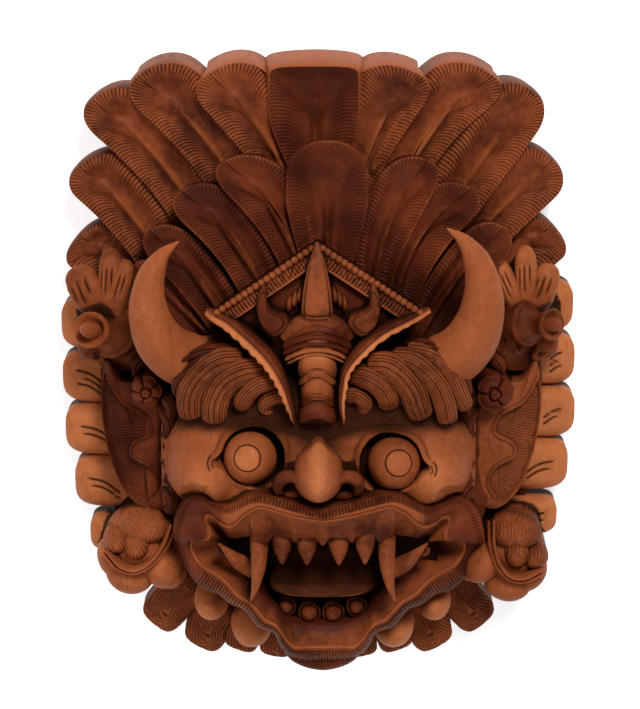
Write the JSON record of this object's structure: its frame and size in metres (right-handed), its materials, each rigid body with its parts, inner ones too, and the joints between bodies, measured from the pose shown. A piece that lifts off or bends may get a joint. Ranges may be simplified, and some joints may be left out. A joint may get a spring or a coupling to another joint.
{
  "type": "carved guardian mask",
  "caption": "Carved hardwood guardian mask with a feathered crown, horns, bulging eyes and an open fanged mouth, hollowed behind the face",
  "frame": {"origin": "centre of the flat back rim, under the middle of the mask's outline, where it lies on a surface", "axes": "+Z out of the face, +Y towards the top of the feathered crown, +X towards the viewer's right when looking at the face with the crown up"},
  "size_m": [0.3706, 0.4398, 0.159],
  "materials": {
    "wood": "dark reddish-brown stain, satin, darker in the cuts and worn lighter on the high places"
  },
  "bodies": {
    "root": {"mask": "wood"}
  },
  "joints": []
}
